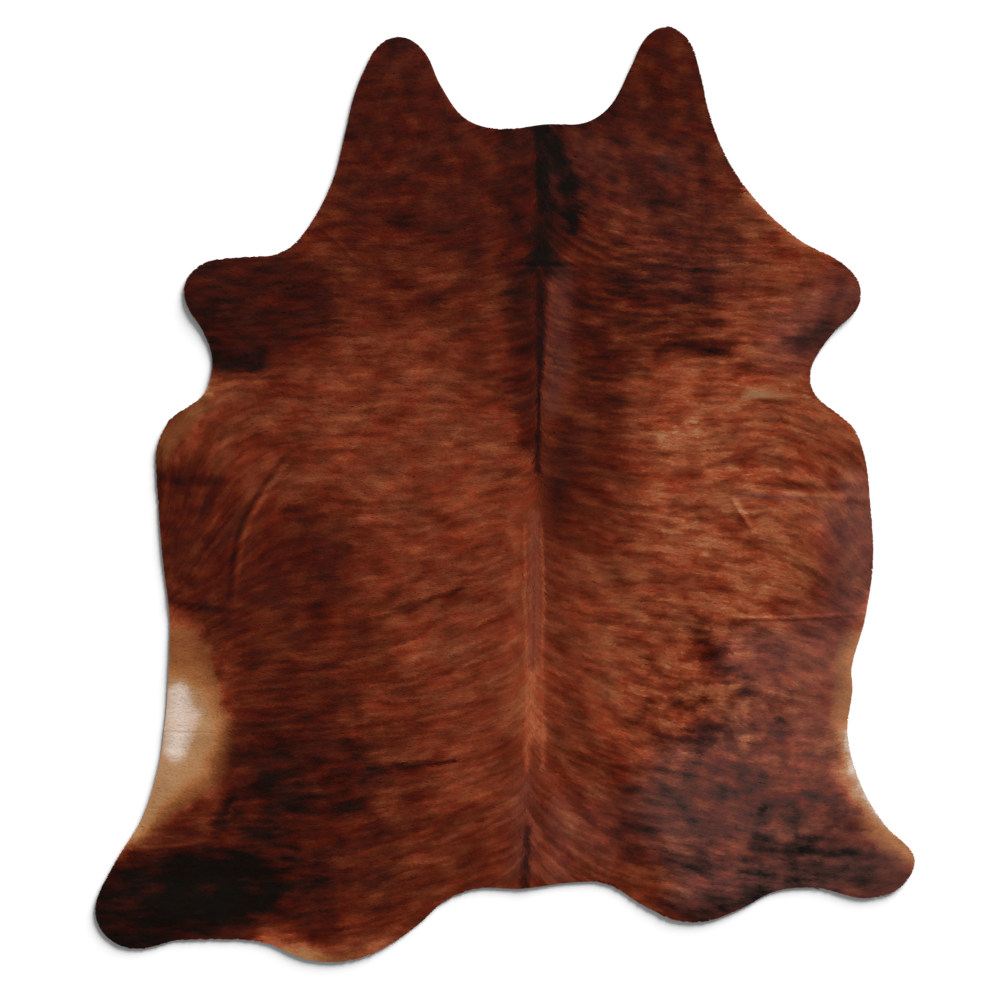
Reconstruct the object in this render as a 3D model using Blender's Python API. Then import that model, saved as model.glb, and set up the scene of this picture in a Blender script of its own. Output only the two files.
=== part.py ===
"""Cowhide rug, laid flat with its hair side up.

The rug is one whole hide: a single thin sheet of leather and flattened hair. Its trimmed
edge is a smooth closed curve through the landmarks of EDGE. The sheet lies flat on the
floor, rises a few millimetres along the old packing folds in FOLDS, and lifts softly
over the SWELLS near its edge.

Units are metres. +Z is up, +Y points to the neck and +X to the right, seen from above.
The origin is the middle of the rug's bounding box, on the floor.
"""
import math
from collections import namedtuple

import bpy
import numpy
from mathutils import Vector
from mathutils.geometry import delaunay_2d_cdt, interpolate_bezier

# Driving dimensions
HIDE_LENGTH = 2.130       # neck to rump
LEATHER = 0.0022          # tanned skin
PILE = 0.0028             # short hair, lying flat
HAIR_COLOUR = (0.13, 0.04, 0.018, 1.0)
HAIR_ROUGHNESS = 0.6

# Spacing of the mesh
CURVE_PIECES = 16         # straight pieces between two landmarks, before even spacing
EDGE_STEP = 0.020         # along the trimmed edge
FOLD_STEP = 0.036         # along each fold
FOLD_ROWS = (-1.0, -0.5, 0.0, 0.5, 1.0)   # rows of points beside a fold, in fold widths
FINE_GRID = 0.046         # over the swells
COARSE_EVERY = 3          # flat ground keeps one grid point in so many, each way
FOLD_POINT_INSET = 0.010  # points beside a fold keep this far from the edge
GRID_POINT_INSET = 0.015  # grid points keep this far from the edge and from the folds
MERGE_DISTANCE = 0.00001  # points closer than this become one
KEEP_INSIDE = 1           # the triangulation keeps what lies inside the edge

# How a fold ends, and how narrow its middle groove is
FOLD_FADE = 0.060         # a fold dies out over this length at each end
GROOVE_SHARE = 0.45       # width of the groove as a share of the fold's width
SHARP_ANGLE = math.radians(40)   # the cut rim stays a crisp edge

# The trimmed edge, clockwise from the tip of the left neck lobe
EDGE = {
    "left neck lobe": (
        (-0.233, 1.042), (-0.288, 1.020), (-0.322, 0.962), (-0.344, 0.905),
        (-0.362, 0.830), (-0.390, 0.720), (-0.440, 0.620), (-0.500, 0.555)),
    "left fore leg": (
        (-0.592, 0.540), (-0.675, 0.530), (-0.724, 0.490), (-0.726, 0.435),
        (-0.687, 0.370), (-0.666, 0.300), (-0.688, 0.225), (-0.760, 0.174)),
    "left side": (
        (-0.791, 0.110), (-0.793, 0.040), (-0.779, -0.150), (-0.763, -0.300),
        (-0.780, -0.570), (-0.821, -0.725), (-0.894, -0.850)),
    "left hind leg": (
        (-0.932, -0.940), (-0.910, -1.004), (-0.840, -1.036), (-0.740, -1.016),
        (-0.618, -1.014), (-0.542, -1.022)),
    "left rump": (
        (-0.465, -1.054), (-0.395, -1.066), (-0.292, -1.042), (-0.203, -0.986),
        (-0.135, -0.926), (-0.062, -0.897)),
    "tail hollow": (
        (0.034, -0.898), (0.148, -0.884), (0.228, -0.886), (0.308, -0.934)),
    "right rump": (
        (0.380, -0.967), (0.450, -0.973), (0.535, -0.944), (0.614, -0.904),
        (0.700, -0.896)),
    "right hind leg": (
        (0.812, -0.919), (0.888, -0.902), (0.928, -0.855), (0.926, -0.815),
        (0.866, -0.755), (0.811, -0.665)),
    "right side": (
        (0.779, -0.548), (0.790, -0.445), (0.788, -0.395), (0.818, -0.286),
        (0.837, -0.150), (0.828, 0.010)),
    "right fore leg": (
        (0.818, 0.085), (0.789, 0.155), (0.705, 0.227), (0.697, 0.288),
        (0.746, 0.367), (0.802, 0.425), (0.804, 0.482), (0.758, 0.532)),
    "right neck lobe": (
        (0.672, 0.577), (0.575, 0.664), (0.506, 0.762), (0.465, 0.865),
        (0.444, 0.956), (0.417, 1.033), (0.365, 1.065), (0.319, 1.040),
        (0.285, 0.973), (0.240, 0.888)),
    "neck hollow": (
        (0.182, 0.848), (0.091, 0.844), (-0.012, 0.833), (-0.091, 0.858),
        (-0.146, 0.933), (-0.182, 1.008)),
}

# Old packing folds and skin folds: the path of each, how high its shoulders rise, their
# half width, and how deep the groove between them is as a share of that rise
Fold = namedtuple("Fold", "path rise width groove")
FOLDS = {
    "left skin fold": Fold(
        ((-0.485, 0.110), (-0.547, 0.028), (-0.599, -0.081), (-0.634, -0.250)),
        0.0040, 0.040, 0.8),
    "left belly, front": Fold(
        ((-0.880, 0.040), (-0.700, 0.038), (-0.560, 0.036)), 0.0025, 0.030, 0.7),
    "left belly, back": Fold(
        ((-0.860, -0.246), (-0.700, -0.256), (-0.580, -0.268)), 0.0030, 0.030, 0.8),
    "left flank": Fold(
        ((-0.870, -0.541), (-0.720, -0.541), (-0.620, -0.543)), 0.0020, 0.028, 0.6),
    "left hind leg": Fold(
        ((-0.960, -0.830), (-0.850, -0.806), (-0.750, -0.798), (-0.640, -0.808)),
        0.0035, 0.030, 0.5),
    "left fore leg": Fold(
        ((-0.760, 0.270), (-0.600, 0.262), (-0.380, 0.266)), 0.0035, 0.034, 0.4),
    "right fore leg": Fold(
        ((0.500, 0.247), (0.620, 0.242), (0.790, 0.238)), 0.0030, 0.026, 0.0),
    "right belly, front": Fold(
        ((0.410, 0.026), (0.600, 0.020), (0.920, 0.012)), 0.0035, 0.032, 0.9),
    "right belly, back": Fold(
        ((0.480, -0.292), (0.650, -0.286), (0.910, -0.268)), 0.0035, 0.030, 0.7),
    "right flank": Fold(
        ((0.320, -0.522), (0.600, -0.542), (0.880, -0.558)), 0.0035, 0.032, 0.8),
    "right hind leg": Fold(
        ((0.480, -0.800), (0.720, -0.798), (1.010, -0.822)), 0.0040, 0.032, 0.8),
    "right belly pleat": Fold(
        ((0.505, 0.005), (0.535, -0.045), (0.570, -0.105)), 0.0035, 0.020, 0.0),
    "right loin": Fold(
        ((0.402, -0.280), (0.401, -0.380), (0.398, -0.490)), 0.0015, 0.026, 0.0),
    "neck": Fold(
        ((0.000, 0.522), (0.100, 0.524), (0.200, 0.520)), 0.0020, 0.026, 0.7),
    "spine": Fold(
        ((0.086, 0.940), (0.080, 0.600), (0.072, 0.200), (0.066, -0.250),
         (0.058, -0.640), (0.042, -0.980)), 0.0020, 0.034, 0.5),
}

# Places where the sheet lifts off the floor: middle, half lengths across and along,
# and how high it lifts
Swell = namedtuple("Swell", "middle half_sizes rise")
SWELLS = {
    "left neck lobe": Swell((-0.255, 0.970), (0.110, 0.130), 0.0030),
    "right neck lobe": Swell((0.365, 0.990), (0.100, 0.140), 0.0035),
    "left fore leg": Swell((-0.680, 0.430), (0.140, 0.110), 0.0040),
    "right fore leg": Swell((0.760, 0.450), (0.120, 0.110), 0.0040),
    "left shoulder": Swell((-0.730, 0.110), (0.110, 0.060), 0.0030),
    "right shoulder": Swell((0.730, 0.125), (0.140, 0.080), 0.0030),
    "left belly": Swell((-0.700, -0.110), (0.120, 0.120), 0.0030),
    "right belly": Swell((0.730, -0.135), (0.160, 0.120), 0.0040),
    "left flank": Swell((-0.710, -0.400), (0.110, 0.110), 0.0025),
    "right flank": Swell((0.720, -0.415), (0.130, 0.100), 0.0035),
    "left thigh": Swell((-0.740, -0.675), (0.110, 0.100), 0.0025),
    "right thigh": Swell((0.700, -0.675), (0.150, 0.100), 0.0035),
    "left hind leg": Swell((-0.840, -0.940), (0.150, 0.100), 0.0045),
    "right hind leg": Swell((0.840, -0.865), (0.150, 0.070), 0.0045),
    "left rump": Swell((-0.390, -1.010), (0.170, 0.080), 0.0035),
    "right rump": Swell((0.430, -0.920), (0.160, 0.080), 0.0035),
}


def clear_scene():
    for thing in list(bpy.data.objects):
        bpy.data.objects.remove(thing, do_unlink=True)


def smooth_curve(points, step, closed=False):
    """Points about a step apart along a smooth curve through the given points."""
    knots = [Vector(point) for point in points]
    count = len(knots)
    spans = count if closed else count - 1

    def knot(index):
        return knots[index % count] if closed else knots[min(max(index, 0), count - 1)]

    dense = []
    for span in range(spans):
        start = knot(span)
        end = knot(span + 1)
        reach = (end - start).length / 3
        leave = (end - knot(span - 1)).normalized() * reach
        arrive = (knot(span + 2) - start).normalized() * reach
        curve = interpolate_bezier(start, start + leave, end - arrive, end, CURVE_PIECES)
        dense += curve[:-1]
    dense.append(knot(spans))

    track = numpy.array([point[:2] for point in dense])
    lengths = numpy.linalg.norm(numpy.diff(track, axis=0), axis=1)
    travelled = numpy.concatenate(([0.0], numpy.cumsum(lengths)))
    stops = numpy.linspace(0.0, travelled[-1], round(travelled[-1] / step) + 1)
    evened = [numpy.interp(stops, travelled, track[:, axis]) for axis in range(2)]
    even = numpy.column_stack(evened)
    return even[:-1] if closed else even


def distance_to_track(points, track, closed=False):
    """How far each point lies from a track, and how far along the track it is."""
    ends = numpy.roll(track, -1, axis=0) if closed else track[1:]
    starts = track if closed else track[:-1]
    nearest = numpy.full(len(points), numpy.inf)
    along = numpy.zeros(len(points))
    travelled = 0.0
    for start, end in zip(starts, ends):
        run = end - start
        length = float(numpy.hypot(*run))
        share = numpy.clip((points - start) @ run / length ** 2, 0.0, 1.0)
        gap = numpy.linalg.norm(points - start - share[:, None] * run, axis=1)
        closer = gap < nearest
        nearest[closer] = gap[closer]
        along[closer] = travelled + share[closer] * length
        travelled += length
    return nearest, along, travelled


def inside(points, outline):
    """Which points lie inside the closed outline, by counting edges crossed to the right."""
    within = numpy.zeros(len(points), dtype=bool)
    for start, end in zip(outline, numpy.roll(outline, -1, axis=0)):
        spans = (start[1] > points[:, 1]) != (end[1] > points[:, 1])
        rise = end[1] - start[1] if end[1] != start[1] else 1.0
        crossing = start[0] + (points[:, 1] - start[1]) * (end[0] - start[0]) / rise
        within ^= spans & (points[:, 0] < crossing)
    return within


def bump(share):
    """A soft hump: 1 in the middle, 0 from a share of 1 outwards, level at both."""
    return numpy.clip(1.0 - share ** 2, 0.0, None) ** 2


def lift(points, folds, placed):
    """How far the underside lies above the floor at each point."""
    height = numpy.zeros(len(points))
    for swell in SWELLS.values():
        shares = (points - placed(swell.middle)) / numpy.array(swell.half_sizes)
        height += swell.rise * bump(numpy.linalg.norm(shares, axis=1))
    for fold, track in folds:
        gap, along, length = distance_to_track(points, track)
        to_end = numpy.minimum(along, length - along) / FOLD_FADE
        ends = 1.0 - bump(numpy.clip(to_end, 0.0, 1.0))
        groove = fold.groove * bump(gap / (fold.width * GROOVE_SHARE))
        height += fold.rise * ends * (bump(gap / fold.width) - groove)
    return numpy.clip(height, 0.0, None)


def fold_rows(fold, track):
    """Rows of points beside a fold: each row follows its track at one offset."""
    forward = numpy.gradient(track, axis=0)
    forward /= numpy.linalg.norm(forward, axis=1)[:, None]
    across = numpy.column_stack((-forward[:, 1], forward[:, 0]))
    return [track + across * fold.width * row for row in FOLD_ROWS]


def grid_points(outline, folds, placed):
    """Inner points on a triangular grid: fine over the swells, coarse on flat ground."""
    low = outline.min(axis=0)
    high = outline.max(axis=0)
    row_step = FINE_GRID * math.sqrt(3) / 2
    rows = math.ceil((high[1] - low[1]) / row_step)
    columns = math.ceil((high[0] - low[0]) / FINE_GRID)
    fine = []
    coarse = []
    for row in range(rows):
        for column in range(columns):
            shift = row % 2 / 2
            point = (low[0] + (column + shift) * FINE_GRID, low[1] + row * row_step)
            fine.append(point)
            coarse.append(row % COARSE_EVERY == 0 and column % COARSE_EVERY == 0)
    fine = numpy.array(fine)
    coarse = numpy.array(coarse)
    off_edge, _, _ = distance_to_track(fine, outline, closed=True)
    kept = inside(fine, outline) & (off_edge > GRID_POINT_INSET)
    kept &= coarse | (lift(fine, (), placed) > 0.0)
    for fold, track in folds:
        gap, _, _ = distance_to_track(fine, track)
        kept &= gap > fold.width + GRID_POINT_INSET
    return fine[kept]


def sheet_mesh():
    """The underside of the hide as one triangulated surface."""
    drawn = smooth_curve([point for run in EDGE.values() for point in run], EDGE_STEP, True)
    middle = (drawn.min(axis=0) + drawn.max(axis=0)) / 2
    scale = HIDE_LENGTH / numpy.ptp(drawn[:, 1])

    def placed(point):
        return (numpy.array(point) - middle) * scale

    outline = placed(drawn)
    folds = [(fold, placed(smooth_curve(fold.path, FOLD_STEP))) for fold in FOLDS.values()]

    points = [tuple(point) for point in outline]
    edges = []
    for fold, track in folds:
        for row in fold_rows(fold, track):
            off_edge, _, _ = distance_to_track(row, outline, closed=True)
            kept = inside(row, outline) & (off_edge > FOLD_POINT_INSET)
            first = len(points)
            points += [tuple(point) for point in row[kept]]
            edges += [(index, index + 1) for index in range(first, len(points) - 1)]
    points += [tuple(point) for point in grid_points(outline, folds, placed)]

    rim = list(range(len(outline)))
    flat, _, triangles, _, _, _ = delaunay_2d_cdt(
        [Vector(point) for point in points], edges, [rim], KEEP_INSIDE, MERGE_DISTANCE)
    flat = numpy.array([point[:] for point in flat])
    heights = lift(flat, folds, placed)
    mesh = bpy.data.meshes.new("hide")
    mesh.from_pydata([(x, y, z) for (x, y), z in zip(flat, heights)], [], triangles)
    return mesh


def hair_material():
    material = bpy.data.materials.new("hide hair")
    material.use_nodes = True
    shader = material.node_tree.nodes["Principled BSDF"]
    shader.inputs["Base Color"].default_value = HAIR_COLOUR
    shader.inputs["Roughness"].default_value = HAIR_ROUGHNESS
    material.diffuse_color = HAIR_COLOUR
    return material


def build_hide():
    """The sheet, thickened upwards from its underside to the top of the flattened hair."""
    mesh = sheet_mesh()
    hide = bpy.data.objects.new("hide", mesh)
    bpy.context.scene.collection.objects.link(hide)
    mesh.materials.append(hair_material())
    mesh.shade_smooth()
    mesh.set_sharp_from_angle(angle=SHARP_ANGLE)
    thickness = hide.modifiers.new("Thickness", "SOLIDIFY")
    thickness.thickness = LEATHER + PILE
    thickness.offset = 1.0
    return hide


clear_scene()
build_hide()
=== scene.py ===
"""Cowhide rug: the look of one tanned cattle hide with its short brindled hair.

Units are metres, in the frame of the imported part: +Z up, +Y to the neck, +X to the right.
"""
import math
from collections import namedtuple

import bpy
import numpy as np
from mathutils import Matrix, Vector
from mathutils.bvhtree import BVHTree
from mathutils.geometry import delaunay_2d_cdt, interpolate_bezier


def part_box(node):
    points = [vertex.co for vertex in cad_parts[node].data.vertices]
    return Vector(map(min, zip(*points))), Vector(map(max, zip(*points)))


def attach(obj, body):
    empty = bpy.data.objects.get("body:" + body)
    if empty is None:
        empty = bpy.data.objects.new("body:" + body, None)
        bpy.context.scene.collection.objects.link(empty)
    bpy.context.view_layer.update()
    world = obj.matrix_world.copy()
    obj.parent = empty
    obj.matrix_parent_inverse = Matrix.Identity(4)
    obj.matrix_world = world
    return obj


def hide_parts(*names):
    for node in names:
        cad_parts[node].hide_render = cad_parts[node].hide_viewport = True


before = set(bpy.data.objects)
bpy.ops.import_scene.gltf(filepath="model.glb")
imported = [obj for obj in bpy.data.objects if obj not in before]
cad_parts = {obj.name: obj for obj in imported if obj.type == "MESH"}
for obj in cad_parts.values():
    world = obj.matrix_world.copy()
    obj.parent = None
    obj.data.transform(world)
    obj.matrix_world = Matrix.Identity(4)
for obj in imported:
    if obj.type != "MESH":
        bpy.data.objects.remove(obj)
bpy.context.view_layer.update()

# ------------------------------------------------------------------------------- Camera
# The rug fills the picture, seen from straight above with its neck at the top. The lens
# is a long one, so the low folds near the edges are seen as squarely as the middle.
LENS_MM = 85.0
SENSOR_MM = 36.0
VIEW_WIDTH = 2.278                  # floor that the picture's side shows
VIEW_MIDDLE = (-0.0114, -0.0125)


def add_object(name, data):
    """A new object for some data, in the scene."""
    added = bpy.data.objects.new(name, data)
    bpy.context.scene.collection.objects.link(added)
    return added


view = bpy.data.cameras.new("overhead camera")
view.lens = LENS_MM
view.sensor_width = SENSOR_MM
camera = add_object("overhead_camera", view)
camera.location = (*VIEW_MIDDLE, VIEW_WIDTH * LENS_MM / SENSOR_MM)
bpy.context.scene.camera = camera
bpy.context.scene.view_settings.view_transform = "Standard"

# ----------------------------------------------------------------------- The tanned hide
# One whole hide, tanned to a supple sheet about 2 mm thick, suede on the flesh side. It
# lies on the CAD solid's own folds, with the narrower creases pressed in by packing.
LEATHER = 0.0022
TRIMMED_BACK = 0.0015               # the hair reaches this much further than the skin
RIM_STEP = 0.006
SKIN_GRID = 0.014
CREASE_STEP = 0.012
CREASE_RAILS = (-1.0, -0.5, 0.0, 0.5, 1.0)
SWELL_WIDTH = 2.5                   # a trough's swell is this much wider than the trough
CURVE_PIECES = 12
MERGE_DISTANCE = 0.00001
KEEP_INSIDE = 1                     # the triangulation's mode: it fills the rim alone
RIM_GAP = 0.6                       # share of SKIN_GRID kept free of points along the rim
GROUND_STEP = 0.005                 # grid on which the CAD sheet's height is read
GROUND_MARGIN = 0.060
GROUND_BLUR = 0.009                 # rounds off the CAD sheet's facets
BLUR_REACH = 4                      # grid steps that this takes in, each way
LAST_CELL = 1.001                   # keeps a place just short of a grid's last row or column
NEARLY_ZERO = 1e-12                 # keeps a division by nothing from failing

# Narrow creases: the path of each, how deep its middle is (or how high, if negative), how
# wide it is to the left and the right of its path, and the painted light (above 0) or painted
# shade (below 0) laid into the hair's tone on each side, where light catches or misses its slopes
SIDE_PEAK = 3.5                     # brings a side's change of tone to 1 at its strongest
Crease = namedtuple("Crease", "path depth left right left_tone right_tone")
CREASES = {
    "left skin fold": Crease(
        ((-0.47, 0.105), (-0.503, 0.074), (-0.56, -0.008), (-0.597, -0.08),
         (-0.612, -0.15), (-0.624, -0.247)), -0.0008, 0.018, 0.016, 0.14, -0.22),
    "left belly, front": Crease(
        ((-0.795, 0.028), (-0.7, 0.024), (-0.6, 0.026)), 0.0006, 0.024, 0.016, -0.2, -0.1),
    "left belly, back": Crease(
        ((-0.765, -0.25), (-0.69, -0.261), (-0.58, -0.27)), 0.0004, 0.016, 0.016, -0.24, -0.18),
    "left flank boundary": Crease(
        ((-0.69, -0.281), (-0.672, -0.32), (-0.652, -0.361)), 0.0004, 0.007, 0.01, -0.08, -0.02),
    "left flank, front": Crease(
        ((-0.78, -0.54), (-0.7, -0.542), (-0.645, -0.54)), 0.0003, 0.005, 0.007, -0.02, 0.0),
    "left flank, back": Crease(
        ((-0.81, -0.712), (-0.78, -0.715), (-0.755, -0.714)), 0.0003, 0.005, 0.007, -0.03, 0.0),
    "left hind leg": Crease(
        ((-0.86, -0.812), (-0.75, -0.802), (-0.67, -0.79)), -0.0006, 0.012, 0.008, 0.18, -0.02),
    "left fore leg": Crease(
        ((-0.67, 0.262), (-0.56, 0.26), (-0.45, 0.266)), 0.0006, 0.012, 0.016, -0.08, 0.06),
    "left shoulder": Crease(
        ((-0.438, 0.62), (-0.38, 0.572), (-0.33, 0.523)), -0.0005, 0.008, 0.006, 0.07, -0.03),
    "right fore leg": Crease(
        ((0.535, 0.23), (0.62, 0.226), (0.705, 0.222)), -0.0008, 0.022, 0.018, 0.18, 0.22),
    "right belly, front": Crease(
        ((0.565, 0.013), (0.68, 0.009), (0.83, 0.003)), 0.0006, 0.023, 0.018, -0.2, 0.08),
    "right belly, back": Crease(
        ((0.5, -0.281), (0.65, -0.282), (0.825, -0.272)), -0.0005, 0.009, 0.008, 0.14, -0.18),
    "right belly pleat": Crease(
        ((0.512, -0.006), (0.535, -0.045), (0.565, -0.092)), -0.0006, 0.016, 0.006, 0.14, -0.06),
    "right flank": Crease(
        ((0.353, -0.53), (0.56, -0.542), (0.775, -0.557)), 0.0005, 0.018, 0.014, -0.2, -0.14),
    "right hind leg": Crease(
        ((0.549, -0.811), (0.72, -0.818), (0.905, -0.831)), 0.0006, 0.026, 0.018, -0.34, -0.14),
    "right loin": Crease(
        ((0.401, -0.297), (0.401, -0.38), (0.399, -0.468)), -0.0004, 0.006, 0.005, 0.05, -0.03),
    "neck": Crease(
        ((0.02, 0.52), (0.095, 0.521), (0.171, 0.517)), 0.0005, 0.012, 0.008, -0.16, 0.05),
}


def smooth_curve(points, step, closed=False):
    """Points about a step apart along a smooth curve through the given points."""
    knots = [Vector(point) for point in points]
    count = len(knots)
    spans = count if closed else count - 1

    def knot(index):
        return knots[index % count] if closed else knots[min(max(index, 0), count - 1)]

    dense = []
    for span in range(spans):
        start = knot(span)
        end = knot(span + 1)
        reach = (end - start).length / 3
        leave = (end - knot(span - 1)).normalized() * reach
        arrive = (knot(span + 2) - start).normalized() * reach
        curve = interpolate_bezier(start, start + leave, end - arrive, end, CURVE_PIECES)
        dense += curve[:-1]
    dense.append(knot(spans))

    track = np.array([point[:2] for point in dense])
    lengths = np.linalg.norm(np.diff(track, axis=0), axis=1)
    travelled = np.concatenate(([0.0], np.cumsum(lengths)))
    stops = np.linspace(0.0, travelled[-1], round(travelled[-1] / step) + 1)
    evened = [np.interp(stops, travelled, track[:, axis]) for axis in range(2)]
    even = np.column_stack(evened)
    return even[:-1] if closed else even


def sideways(track, closed=False):
    """Unit vectors to the left of a track, at each of its points."""
    if closed:
        forward = np.roll(track, -1, axis=0) - np.roll(track, 1, axis=0)
    else:
        forward = np.gradient(track, axis=0)
    forward /= np.linalg.norm(forward, axis=1)[:, None]
    return np.column_stack((-forward[:, 1], forward[:, 0]))


def rim_of(node):
    """The outline of a node's underside, as one closed track in order."""
    mesh = node.data
    spots = [tuple(round(number, 5) for number in vertex.co[:2]) for vertex in mesh.vertices]
    runs = set()
    for face in mesh.polygons:
        if face.normal.z < -0.5:
            corners = [spots[index] for index in face.vertices]
            runs.update(zip(corners, corners[1:] + corners[:1]))
    onward = {start: end for start, end in runs if (end, start) not in runs}
    track = [next(iter(sorted(onward)))]
    while onward[track[-1]] != track[0]:
        track.append(onward[track[-1]])
    return np.array(track)


def inside(points, outline):
    """Which points lie inside the closed outline, by counting edges crossed to the right."""
    within = np.zeros(len(points), dtype=bool)
    for start, end in zip(outline, np.roll(outline, -1, axis=0)):
        low, high = sorted((start[1], end[1]))
        rows = np.flatnonzero((points[:, 1] > low) & (points[:, 1] <= high))
        run = (end[0] - start[0]) / (end[1] - start[1]) if high > low else 0.0
        crossing = start[0] + (points[rows, 1] - start[1]) * run
        within[rows] ^= points[rows, 0] < crossing
    return within


def bump(share):
    """A soft hump: 1 in the middle, 0 from a share of 1 outwards, level at both."""
    return np.clip(1.0 - share ** 2, 0.0, None) ** 2


def read_ground(node):
    """The height of a node's underside on an even grid, with its facets smoothed."""
    tree = BVHTree.FromPolygons(
        [vertex.co for vertex in node.data.vertices],
        [face.vertices for face in node.data.polygons])
    low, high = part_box(node.name)
    across = np.arange(low[0] - GROUND_MARGIN, high[0] + GROUND_MARGIN, GROUND_STEP)
    along = np.arange(low[1] - GROUND_MARGIN, high[1] + GROUND_MARGIN, GROUND_STEP)
    height = np.zeros((len(along), len(across)))
    known = np.zeros_like(height)
    for row, y in enumerate(along):
        for column, x in enumerate(across):
            hit, _, _, _ = tree.ray_cast(Vector((x, y, -1.0)), Vector((0.0, 0.0, 1.0)))
            if hit is not None:
                height[row, column] = hit.z
                known[row, column] = 1.0
    reach = np.arange(-BLUR_REACH, BLUR_REACH + 1) * GROUND_STEP / GROUND_BLUR
    weights = np.exp(-reach ** 2 / 2)

    def blurred(values):
        for axis in range(2):
            values = np.apply_along_axis(np.convolve, axis, values, weights, "same")
        return values

    return across, along, blurred(height * known) / np.maximum(blurred(known), NEARLY_ZERO)


def between_four(values, column, row, over, up):
    """Values between a grid's places, given how far over and up each lies, from 0 to 1."""
    below = values[row, column] * (1 - over) + values[row, column + 1] * over
    above = values[row + 1, column] * (1 - over) + values[row + 1, column + 1] * over
    return below * (1 - up) + above * up


def read_ground_at(points):
    """The height of the ground at the given points."""
    across, along, height = ground
    column = np.clip((points[:, 0] - across[0]) / GROUND_STEP, 0, len(across) - LAST_CELL)
    row = np.clip((points[:, 1] - along[0]) / GROUND_STEP, 0, len(along) - LAST_CELL)
    left = column.astype(int)
    lower = row.astype(int)
    return between_four(height, left, lower, column - left, row - lower)


def beside_crease(points, crease, track):
    """The points near a crease, how far each lies from its middle as a share of its width
    on that side, positive to the left, and how much of the crease there is: it dies out
    towards both ends."""
    reach = max(crease.left, crease.right) * SWELL_WIDTH
    near = np.all(points > track.min(axis=0) - reach, axis=1)
    near &= np.all(points < track.max(axis=0) + reach, axis=1)
    near = np.flatnonzero(near)
    spots = points[near]
    gap = np.full(len(spots), np.inf)
    place = np.zeros(len(spots))
    width = np.full(len(spots), reach)
    for index, (start, end) in enumerate(zip(track[:-1], track[1:])):
        run = end - start
        part = np.clip((spots - start) @ run / (run @ run), 0.0, 1.0)
        apart = spots - start - part[:, None] * run
        away = np.linalg.norm(apart, axis=1)
        leftward = apart @ (-run[1], run[0]) > 0
        closer = away < gap
        gap[closer] = away[closer]
        width[closer] = np.where(leftward, crease.left, -crease.right)[closer]
        place[closer] = (index + part[closer]) / (len(track) - 1)
    return near, gap / width, np.sin(np.pi * place) ** 0.5


def creased(points):
    """How much the narrow creases raise each point. A trough lies in a low swell."""
    height = np.zeros(len(points))
    for crease, track in crease_tracks:
        near, gap, fade = beside_crease(points, crease, track)
        swell = bump(gap / SWELL_WIDTH) if crease.depth > 0 else 0.0
        height[near] += crease.depth * fade * (swell - bump(gap))
    return height


def crease_painted_shading(points):
    """Painted light and shade beside the narrow creases, added to the hair's tone."""
    tone = np.zeros(len(points))
    for crease, track in crease_tracks:
        near, gap, fade = beside_crease(points, crease, track)
        both = (crease.left_tone + crease.right_tone) / 2
        apart = (crease.left_tone - crease.right_tone) / 2
        side = np.clip(gap, -1.0, 1.0)
        tone[near] += fade * bump(gap) * (both + apart * SIDE_PEAK * side)
    return tone


def skin_top(points):
    """How high the hair side of the skin lies at each point."""
    return np.clip(read_ground_at(points) + creased(points), 0.0, None) + LEATHER


def even_spread(step):
    """Points on a triangular grid over the hide, with the row and column of each."""
    low = outline.min(axis=0)
    high = outline.max(axis=0)
    row_step = step * math.sqrt(3) / 2
    rows = np.arange(math.ceil((high[1] - low[1]) / row_step))
    columns = np.arange(math.ceil((high[0] - low[0]) / step))
    column, row = [part.ravel() for part in np.meshgrid(columns, rows)]
    x = low[0] + (column + row % 2 / 2) * step
    y = low[1] + row * row_step
    return np.column_stack((x, y)), column, row


def build_mesh(name, vertices, faces):
    """A mesh from an array of vertices and a list of arrays of faces."""
    mesh = bpy.data.meshes.new(name)
    corners = np.concatenate([part.ravel() for part in faces]).astype(np.int32)
    sizes = np.concatenate([np.full(len(part), part.shape[1]) for part in faces])
    starts = np.concatenate(([0], np.cumsum(sizes)[:-1])).astype(np.int32)
    mesh.vertices.add(len(vertices))
    mesh.vertices.foreach_set("co", vertices.astype(np.float32).ravel())
    mesh.loops.add(len(corners))
    mesh.loops.foreach_set("vertex_index", corners)
    mesh.polygons.add(len(sizes))
    mesh.polygons.foreach_set("loop_start", starts)
    mesh.update(calc_edges=True)
    mesh.shade_smooth()
    return mesh


def put_map(mesh, name, places):
    """A UV map that gives each vertex one place."""
    corners = np.empty(len(mesh.loops), np.int32)
    mesh.loops.foreach_get("vertex_index", corners)
    layer = mesh.uv_layers.new(name=name, do_init=False)
    layer.uv.foreach_set("vector", places[corners].astype(np.float32).ravel())


def put_colours(mesh, name, values):
    """A colour attribute that holds four values for each vertex."""
    layer = mesh.color_attributes.new(name=name, type="FLOAT_COLOR", domain="POINT")
    layer.data.foreach_set("color", values.astype(np.float32).ravel())


def add_piece(name, mesh, materials):
    """An object for a piece of the rug, which rides with the part."""
    for material in materials:
        mesh.materials.append(material)
    piece = add_object(name, mesh)
    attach(piece, "root")
    return piece


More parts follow.
